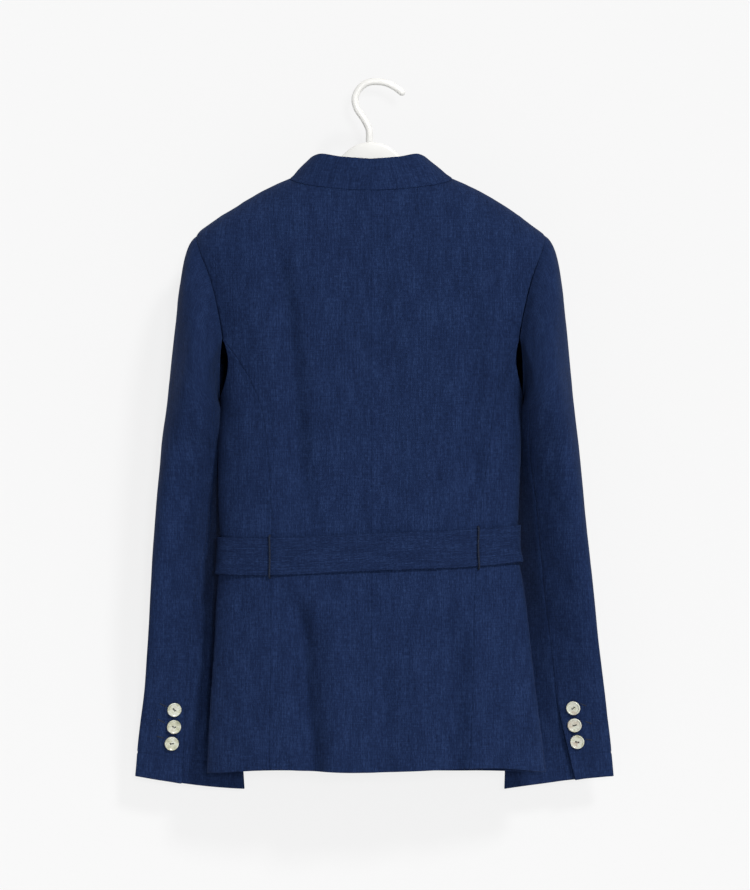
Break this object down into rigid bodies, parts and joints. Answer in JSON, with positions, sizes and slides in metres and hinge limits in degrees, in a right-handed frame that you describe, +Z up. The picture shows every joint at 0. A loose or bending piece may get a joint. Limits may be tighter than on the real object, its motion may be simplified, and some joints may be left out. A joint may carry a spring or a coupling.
{
  "type": "blazer on a hanger",
  "caption": "Fitted linen blazer with a stand collar, princess seams, buttoned cuffs and a tied belt, hanging open-hemmed on a plain plastic hanger.",
  "frame": {"origin": "inside the top of the hanger's hook, where a rail or peg bears", "axes": "+Z up, the fronts face -Y, +X towards the wearer's left"},
  "size_m": [0.5285, 0.1395, 0.7833],
  "materials": {
    "linen": "navy linen, plain weave with pale slubs",
    "belt_linen": "the same linen, cut across",
    "thread": "dark navy thread chain",
    "pearl": "pearly shell, softly iridescent",
    "hanger_plastic": "white moulded plastic"
  },
  "bodies": {
    "root": {"back_left": "linen", "back_right": "linen", "side_back_left": "linen", "side_back_right": "linen", "front_left": "linen", "front_right": "linen", "collar": "linen", "top_sleeve_left": "linen", "under_sleeve_left": "linen", "top_sleeve_right": "linen", "under_sleeve_right": "linen", "belt": "belt_linen", "belt_knot": "belt_linen", "belt_tail_left": "belt_linen", "belt_tail_right": "belt_linen", "belt_loop_left": "thread", "belt_loop_right": "thread", "hanger": "hanger_plastic", "hanger_hook": "hanger_plastic", "cuff_button_left_1": "pearl", "cuff_button_right_1": "pearl", "cuff_button_left_2": "pearl", "cuff_button_right_2": "pearl", "cuff_button_left_3": "pearl", "cuff_button_right_3": "pearl", "front_button_1": "pearl", "front_button_2": "pearl", "front_button_3": "pearl", "front_button_4": "pearl"}
  },
  "joints": []
}
